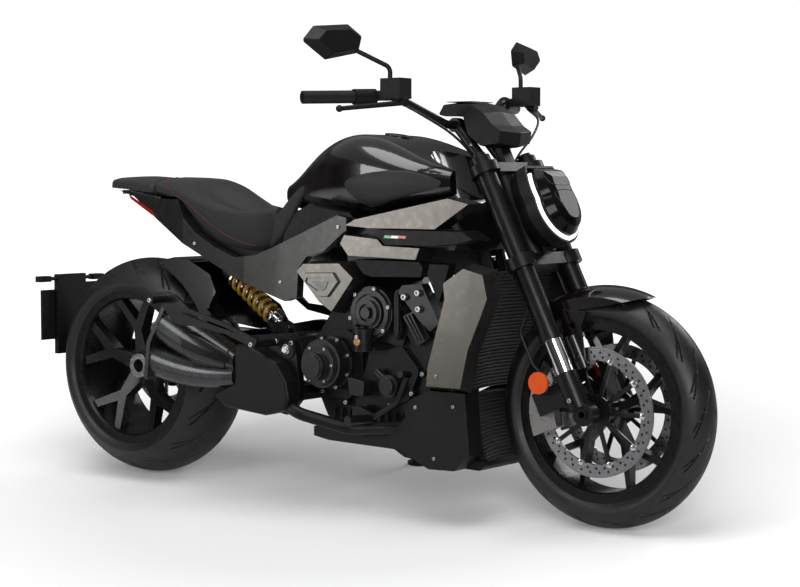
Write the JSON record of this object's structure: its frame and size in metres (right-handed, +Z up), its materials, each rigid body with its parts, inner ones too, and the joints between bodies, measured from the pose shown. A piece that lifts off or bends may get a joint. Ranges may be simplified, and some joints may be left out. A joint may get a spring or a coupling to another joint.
{
  "type": "cruiser motorcycle",
  "caption": "Power cruiser motorcycle with an open engine, upside-down fork, single-sided swingarm, low seats and short twin silencers, parked on its side stand.",
  "frame": {"origin": "on the ground under the middle of the parked machine's box", "axes": "+X forward, +Y to the rider's left, +Z up"},
  "size_m": [2.271, 1.0266, 1.3299],
  "materials": {
    "tyre": "matt",
    "satin_black": "satin",
    "steel": "brushed",
    "gloss_black": "high gloss",
    "dark_plastic": "matt",
    "lens": "clear",
    "light_white": "frosted",
    "rubber": "matt",
    "amber": "moulded",
    "cast_black": "cast, black coated",
    "cast_grey": "cast, grey coated",
    "gunmetal": "metallic satin",
    "seat_cover": "grained",
    "red_lens": "translucent",
    "spring_gold": "gloss",
    "dark_steel": "brushed, tinted",
    "gloss_plastic": "gloss"
  },
  "bodies": {
    "chassis": {"main_frame": "satin_black", "airbox": "dark_plastic", "engine_block": "cast_black", "head_covers": "cast_grey", "engine_covers": "cast_grey", "radiator": "cast_black", "oil_cooler": "cast_black", "radiator_shields": "gunmetal", "belly_pan": "dark_plastic", "tank": "gloss_black", "tank_pads": "dark_plastic", "intake_covers": "gunmetal", "wings": "gloss_black", "side_covers": "gunmetal", "coolant_hoses": "rubber", "seat_frame": "dark_plastic", "rider_seat": "seat_cover", "passenger_seat": "seat_cover", "tail_light": "red_lens", "swingarm": "cast_black", "pivot_plates": "satin_black", "hugger": "gloss_black", "shock": "steel", "shock_spring": "spring_gold", "exhaust": "dark_steel", "silencer": "dark_steel", "chain": "dark_steel", "plate_arm": "satin_black", "number_plate": "dark_plastic", "indicators": "dark_plastic", "rear_caliper": "satin_black", "footpegs": "satin_black", "silencer_cover": "gloss_plastic"},
    "steering": {"bottom_yoke": "satin_black", "top_yoke": "satin_black", "fork_tubes": "satin_black", "stanchions": "steel", "fork_feet": "satin_black", "front_axle": "steel", "front_fender": "gloss_black", "headlamp_shell": "dark_plastic", "headlamp_lens": "lens", "light_strip": "light_white", "handlebar": "satin_black", "grips": "rubber", "hand_controls": "dark_plastic", "mirrors": "dark_plastic", "dash": "dark_plastic", "front_calipers": "satin_black", "fork_reflectors": "amber", "brake_hoses": "rubber"},
    "front_wheel": {"front_tyre": "tyre", "front_rim": "satin_black", "front_discs": "steel"},
    "rear_wheel": {"rear_tyre": "tyre", "rear_rim": "satin_black", "rear_disc": "steel", "rear_sprocket": "steel", "rear_axle": "steel"},
    "side_stand": {"side_stand": "satin_black"}
  },
  "joints": [
    {"name": "steer", "type": "hinge", "parent": "chassis", "child": "steering", "pos_m": [0.80116, -0.16091, 0.29643], "axis": [-0.4377, 0.1561, 0.8855], "range_deg": [-32, 32]},
    {"name": "front_wheel_spin", "type": "hinge", "parent": "steering", "child": "front_wheel", "pos_m": [0.83548, -0.16091, 0.29641], "axis": [-0.0001, 0.9848, -0.1736], "continuous": true},
    {"name": "rear_wheel_spin", "type": "hinge", "parent": "chassis", "child": "rear_wheel", "pos_m": [-0.75751, -0.15674, 0.32119], "axis": [-0.0001, 0.9848, -0.1736], "continuous": true},
    {"name": "stand_fold", "type": "hinge", "parent": "chassis", "child": "side_stand", "pos_m": [-0.0896, 0.02129, 0.1959], "axis": [0.1275, 0.9008, 0.4151], "range_deg": [0, 95]}
  ]
}
